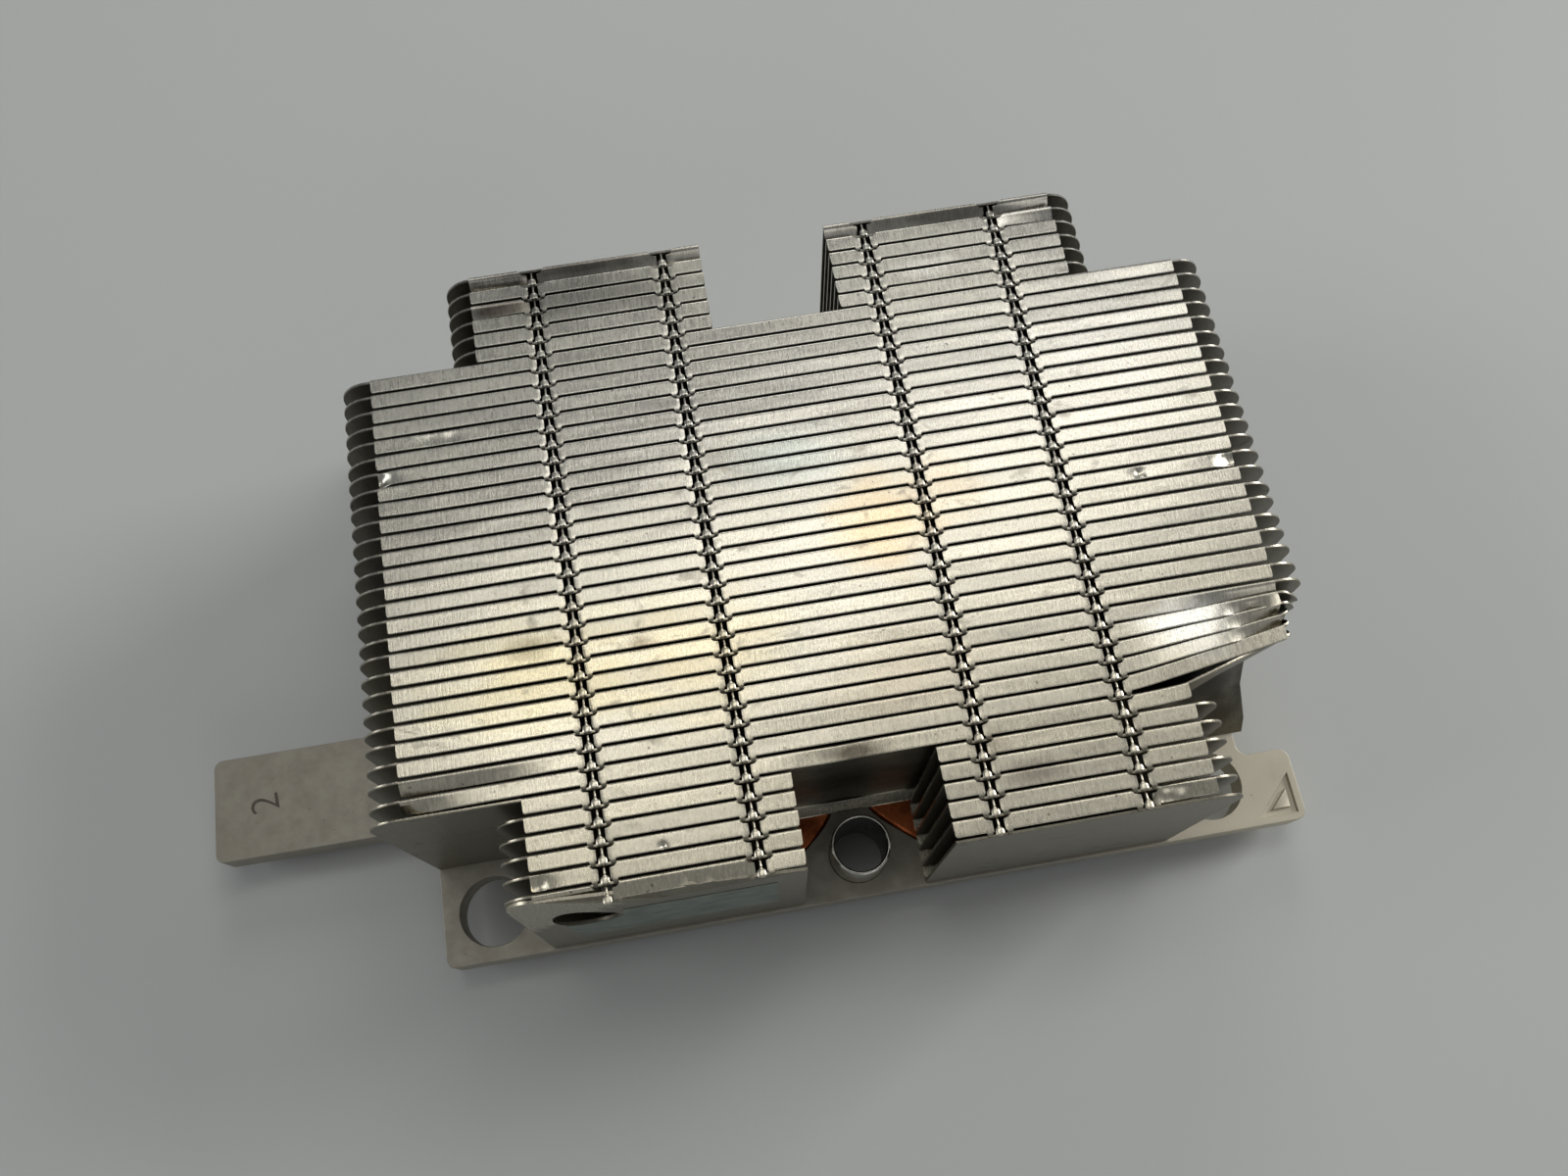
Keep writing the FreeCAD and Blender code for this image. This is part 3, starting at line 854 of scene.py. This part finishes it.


# ---- stains on the fins, and patches of painted shade, painted reflection and painted highlight: centre, radii, strength, colour as seen on screen ----
RAGGEDNESS = 1.4                # of their outlines
STAINS_AND_PAINTED_LIGHT = (
    # stains, in the first ten patches
    ((7.0, -2.0, 40), (7, 9, 40), 0.5, (232, 200, 146)),
    ((15.5, 1.5, 40), (6, 5, 40), 0.3, (226, 196, 150)),
    ((-1.5, 8.0, 40), (10, 5, 40), 0.35, (190, 208, 206)),
    ((-33.0, -13.0, 40), (16, 9, 40), 0.4, (224, 206, 146)),
    ((-16.0, -14.0, 40), (12, 10, 40), 0.35, (226, 206, 150)),
    ((-34.0, -10.0, 40), (3.5, 1.8, 40), 0.6, (140, 130, 104)),
    ((-22.0, -11.5, 40), (2.4, 1.6, 40), 0.6, (120, 104, 84)),
    ((18.0, -33.0, 40), (4.0, 1.8, 40), 0.55, (130, 120, 108)),
    ((14.0, -29.0, 40), (3.0, 2.2, 40), 0.4, (140, 126, 108)),
    ((6.0, -20.0, 40), (11, 7, 40), 0.2, (222, 196, 160)),
    # painted shade on row 1's bent-down flanges, in this and the next patch
    ((-22.5, 38.3, 40), (19, 1.7, 8), 0.85, (84, 76, 68)),
    ((22.5, 38.3, 40), (19, 1.7, 8), 0.7, (104, 98, 88)),
    # painted shade on row 3's bent-down left end
    ((-33.5, 34.0, 40), (5.5, 1.1, 4), 0.85, (86, 70, 58)),
    # painted highlight on flanges right of centre near the back
    ((19.3, 31.0, 40), (5.5, 1.8, 6), 0.85, (255, 251, 240)),
    # painted shade over the dented part of row 33's flange
    ((-0.8, -27.6, 40), (4.6, 1.5, 6), 0.85, (76, 68, 58)),
    # painted dark reflection over the back rows on the left
    ((-24.0, 34.5, 40), (17, 5.5, 8), 0.5, (108, 106, 100)),
    # painted highlight on the right flanges round the knocked rows
    ((39.5, -19.5, 38), (8, 4.5, 8), 0.7, (255, 253, 246)),
    # painted dark reflection on row 33's sheet face in the middle notch
    ((0.0, -26.6, 20), (9.5, 1.2, 18), 0.85, (52, 46, 40)),
    # painted shade on the bulged right ends of the knocked rows, under their flanges
    ((47.5, -23.0, 18), (10, 6.0, 17), 0.8, (64, 58, 50)),
)


def rolled_colour(look, tone, broad):
    """The bare metal: a little warmer towards the front, and varied from strip to strip."""
    base = look.mix(look.ramp(broad, 0.35, 0.65), colour(214, 210, 200), colour(224, 220, 206))
    base = look.mix(look.ramp(look.along("Y"), 0.02, -0.03), base, colour(226, 218, 196))
    return look.tinted(base, look.ramp(tone, 0.0, 1.0), 0.2, (200, 198, 190))


def with_stains_and_painted_light(look, base, cloudy, smudge):
    """Golden and grey stains and patches of painted shade, painted reflection and painted
    highlight, smudges, fine scratches where it is cloudy, and specks.
    """
    for centre, radius, strength, tint in STAINS_AND_PAINTED_LIGHT:
        base = look.tinted(base, look.blob(centre, radius), strength, tint)
    base = look.tinted(base, smudge, 0.35, (150, 142, 126))
    bent = look.noise((0.16, 0.4, 0.2), 2, 0.4, 0.5)
    apart = look.maths("ABSOLUTE", look.maths("SUBTRACT", bent, 0.5), 0.0)
    scratch = look.times(look.ramp(apart, 0.0035, 0.0), look.ramp(cloudy, 0.58, 0.62))
    base = look.tinted(base, scratch, 0.5, (120, 112, 98))
    specks = look.ramp(look.noise((1.3, 1.6, 1.3), 1, 0.4), 0.74, 0.79)
    return look.tinted(base, specks, 0.6, (104, 96, 84))


def grained(look, base, tone, grain):
    """Lighter and darker lines along the grain, and painted shade where the tone is below 0."""
    speckle = look.noise((4.5, 2.0, 1.5), 3, 0.8)
    grain_and_shade = look.times(look.ramp(grain, 0.3, 0.7, 0.84, 1.10),
                        look.ramp(speckle, 0.3, 0.7, 0.80, 1.12))
    # painted shade: the colour darkens as the tone falls below 0
    grain_and_shade = look.times(grain_and_shade, look.ramp(tone, DULL_AND_SHADED, 0.0, 0.17, 1.0))
    return look.vector("MULTIPLY", base, grain_and_shade)[0]


def rolled_roughness(look, tone, grain, broad, smudge):
    """Sheen of the metal: uneven, and duller at the dull tones and the smudges."""
    rough = look.ramp(broad, 0.3, 0.7, 0.235, 0.285)
    for part in (look.ramp(grain, 0.3, 0.7, -0.035, 0.05), look.ramp(tone, 0, 1, -0.015, 0.02),
                 look.ramp(tone, DULL_AND_SHADED, -0.4, 0.22, 0.0), look.times(smudge, 0.12)):
        rough = look.maths("ADD", rough, part)
    return rough


def fin_metal():
    """Thin rolled metal: grain across each flange, golden and grey stains, specks, and painted
    shade, painted reflections and painted highlights.
    """
    look = Look("fin_metal")
    tone = look.tone()
    grain = look.noise((3.2, 0.45, 0.4), 4, 0.7)
    broad = look.noise((0.035, 0.045, 0.03), 3, 0.5)
    cloudy = look.noise((0.25, 0.4, 0.3), 4, 0.6, 0.6)
    smudge = look.ramp(cloudy, 0.60, 0.74)
    base = with_stains_and_painted_light(look, rolled_colour(look, tone, broad), cloudy, smudge)
    rough = rolled_roughness(look, tone, grain, broad, smudge)
    waves = look.bump(look.noise((0.09, 0.3, 0.1), 2, 0.5), 0.05)
    lines = look.bump(grain, 0.02, waves)
    normal = look.bump(look.noise((7.0, 0.7, 0.7), 2, 0.6), 0.006, lines)
    return look.finish(grained(look, base, tone, grain), rough, 1.0, normal)


def plated_base():
    """Matt warm-grey plating, slightly mottled, with painted light making it lighter to the right.
    """
    look = Look("plated_base")
    mottled = look.noise((0.5, 0.5, 0.5), 4, 0.6)
    broad = look.noise((0.05, 0.05, 0.05), 2, 0.5)
    base = look.mix(look.ramp(mottled, 0.35, 0.7), colour(168, 163, 150), colour(156, 150, 137))
    base = look.tinted(base, look.ramp(broad, 0.45, 0.7), 0.35, (146, 139, 125))
    # painted light: lighter towards the right
    base = look.tinted(base, look.ramp(look.along("X"), 0.025, 0.05), 0.8, (212, 204, 184))
    specks = look.ramp(look.noise((1.6, 1.6, 1.6), 1, 0.4), 0.76, 0.8)
    base = look.tinted(base, specks, 0.5, (110, 104, 92))
    rough = look.ramp(mottled, 0.3, 0.7, 0.42, 0.54)
    normal = look.bump(look.noise((3.0, 3.0, 3.0), 3, 0.6), 0.012)
    return look.finish(base, rough, 0.75, normal)


def number_shade():
    """Dark grey of the number: painted shade as in a shallow cut, slightly mottled."""
    look = Look("number_shade")
    mottle = look.noise((1.5, 1.5, 1.5), 3, 0.6)
    # painted shade: the number is darker than the arm
    base = look.mix(look.ramp(mottle, 0.35, 0.7), colour(92, 88, 78), colour(112, 107, 95))
    return look.finish(base, look.ramp(mottle, 0.3, 0.7, 0.6, 0.75), 0.4)


def bright_sleeve():
    """Smooth bright plating, worn, with painted shade in its bore."""
    look = Look("bright_sleeve")
    worn = look.noise((0.8, 0.8, 0.5), 3, 0.6)
    base = look.mix(look.ramp(worn, 0.4, 0.7), colour(216, 214, 206), colour(184, 180, 168))
    # painted shade in the bore
    base = look.mix(look.ramp(look.tone(), 0.0, DULL_AND_SHADED), base, colour(58, 62, 54))
    rough = look.ramp(worn, 0.3, 0.7, 0.16, 0.3)
    return look.finish(base, rough, 1.0, look.bump(look.noise((0.4, 0.4, 4.0), 2, 0.5), 0.01))


def copper():
    """Tarnished copper of the heat pipes."""
    look = Look("copper")
    tarnish = look.noise((0.35, 0.35, 0.35), 4, 0.6)
    base = look.mix(look.ramp(tarnish, 0.4, 0.7), colour(214, 122, 74), colour(138, 72, 44))
    rough = look.ramp(tarnish, 0.3, 0.7, 0.25, 0.45)
    return look.finish(base, rough, 1.0, look.bump(look.noise((1.5, 0.3, 1.5), 3, 0.6), 0.02))


def blank_label():
    """Dull grey-green of the bare label."""
    look = Look("blank_label")
    foxed = look.noise((0.3, 0.3, 0.3), 3, 0.6)
    base = look.mix(look.ramp(foxed, 0.4, 0.7), colour(120, 128, 118), colour(98, 108, 100))
    return look.finish(base, look.ramp(foxed, 0.3, 0.7, 0.4, 0.55), 0.0,
                       look.bump(look.noise((1.0, 1.0, 1.0), 2, 0.5), 0.01))


def floor_paint():
    """Plain pale ground."""
    look = Look("floor_paint")
    broad = look.noise((0.004, 0.004, 0.004), 2, 0.5)
    base = look.mix(broad, colour(214, 216, 214), colour(208, 211, 209))
    return look.finish(base, 0.6, 0.0)


# ---------------------------------------------------------------- stage, light and camera

def floor():
    half = FLOOR_HALF
    mesh = bpy.data.meshes.new("floor")
    mesh.from_pydata([(-half, -half, 0), (half, -half, 0), (half, half, 0), (-half, half, 0)], [],
                     [(0, 1, 2, 3)])
    mesh.materials.append(floor_paint())
    ground = bpy.data.objects.new("floor", mesh)
    bpy.context.scene.collection.objects.link(ground)


def lamp(name, place, aim_height, size, power, tint, turn):
    """A rectangular soft light that faces the part."""
    light = bpy.data.lights.new(name, "AREA")
    light.shape = "RECTANGLE"
    light.size, light.size_y = size
    light.energy = power
    light.color = tint
    holder = bpy.data.objects.new(name, light)
    holder.location = place
    holder.rotation_mode = "QUATERNION"
    facing = (Vector((0, 0, aim_height)) - Vector(place)).to_track_quat("-Z", "Y")
    holder.rotation_quaternion = facing @ Quaternion((0, 0, 1), math.radians(turn))
    bpy.context.scene.collection.objects.link(holder)


def surroundings():
    """A pale sky, fainter as light than as the camera and bright metal see it."""
    world = bpy.data.worlds.new("studio")
    world.use_nodes = True
    nodes, links = world.node_tree.nodes, world.node_tree.links
    path = nodes.new("ShaderNodeLightPath")
    seen = path.outputs["Is Camera Ray"]
    for ray in ("Is Glossy Ray", "Is Transmission Ray"):
        either = nodes.new("ShaderNodeMath")
        either.operation = "MAXIMUM"
        links.new(seen, either.inputs[0])
        links.new(path.outputs[ray], either.inputs[1])
        seen = either.outputs[0]
    share = nodes.new("ShaderNodeMapRange")
    share.inputs["To Min"].default_value = AMBIENT
    share.inputs["To Max"].default_value = BACKDROP
    links.new(seen, share.inputs["Value"])
    links.new(share.outputs["Result"], nodes["Background"].inputs["Strength"])
    nodes["Background"].inputs["Color"].default_value = SKY
    bpy.context.scene.world = world


def camera():
    """The photograph's own place, direction and lens."""
    lens = bpy.data.cameras.new("camera")
    lens.lens = LENS
    lens.sensor_width = SENSOR
    lens.clip_start = 0.01
    lens.clip_end = 20.0
    eye = bpy.data.objects.new("camera", lens)
    eye.location = CAMERA_PLACE
    eye.rotation_euler = [math.radians(angle) for angle in CAMERA_TURN]
    bpy.context.scene.collection.objects.link(eye)
    bpy.context.scene.camera = eye


# ---------------------------------------------------------------- build

def build():
    metal = fin_metal()
    all_fins(metal)
    end_sheet_right(metal)
    end_sheet_left(metal)
    label(blank_label())
    plating = plated_base()
    softened_copy("base_plate", plating, PLATE_ROUNDING)
    arm_number(number_shade())
    pipe_metal = copper()
    for node in ("heat_pipe_left", "heat_pipe_right"):
        softened_copy(node, pipe_metal, PIPE_ROUNDING, 3)
    bright = bright_sleeve()
    for node in ("sleeve_front", "sleeve_back"):
        sleeve(node, bright)
    floor()
    surroundings()
    for name, settings in LAMPS.items():
        lamp(name, *settings)
    camera()
    bpy.context.scene.view_settings.view_transform = "Standard"


build()
